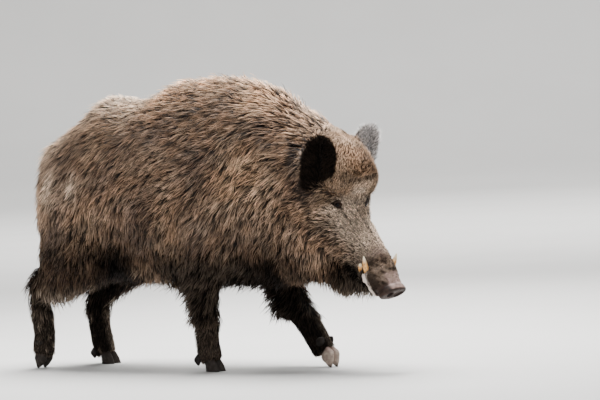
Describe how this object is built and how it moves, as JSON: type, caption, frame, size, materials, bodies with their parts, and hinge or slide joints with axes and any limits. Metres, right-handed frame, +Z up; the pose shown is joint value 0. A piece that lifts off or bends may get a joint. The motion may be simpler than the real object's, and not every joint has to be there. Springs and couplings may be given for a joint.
{
  "type": "wild boar",
  "caption": "Big male wild boar in winter coat, life size, walking slowly with its head low, ears up and short tusks showing.",
  "frame": {"origin": "on the floor under the middle of the animal's length and width", "axes": "+X towards the head, +Y towards the animal's left side, +Z up"},
  "size_m": [1.4568, 0.4328, 0.9107],
  "materials": {
    "coat": "matte",
    "dark_coat": "matte",
    "nose_skin": "satin",
    "ivory": "satin",
    "horn": "satin",
    "eye": "gloss"
  },
  "bodies": {
    "root": {"head": "coat", "neck": "coat", "forequarters": "coat", "barrel": "coat", "hindquarters": "coat", "tail": "coat", "foreleg_left_upper": "coat", "foreleg_left_lower": "coat", "foreleg_right_upper": "coat", "foreleg_right_lower": "coat", "hindleg_left_upper": "coat", "hindleg_left_lower": "coat", "hindleg_right_upper": "coat", "hindleg_right_lower": "coat", "ear_left": "dark_coat", "ear_right": "dark_coat", "nose": "nose_skin", "eye_left": "eye", "eye_right": "eye", "tusk_lower_left": "ivory", "tusk_lower_right": "ivory", "tusk_upper_left": "ivory", "tusk_upper_right": "ivory", "claw_foreleg_left_inner": "horn", "claw_foreleg_left_outer": "horn", "claw_foreleg_right_inner": "horn", "claw_foreleg_right_outer": "horn", "claw_hindleg_left_inner": "horn", "claw_hindleg_left_outer": "horn", "claw_hindleg_right_inner": "horn", "claw_hindleg_right_outer": "horn", "dewclaw_foreleg_left_inner": "horn", "dewclaw_foreleg_left_outer": "horn", "dewclaw_foreleg_right_inner": "horn", "dewclaw_foreleg_right_outer": "horn", "dewclaw_hindleg_left_inner": "horn", "dewclaw_hindleg_left_outer": "horn", "dewclaw_hindleg_right_inner": "horn", "dewclaw_hindleg_right_outer": "horn"}
  },
  "joints": []
}
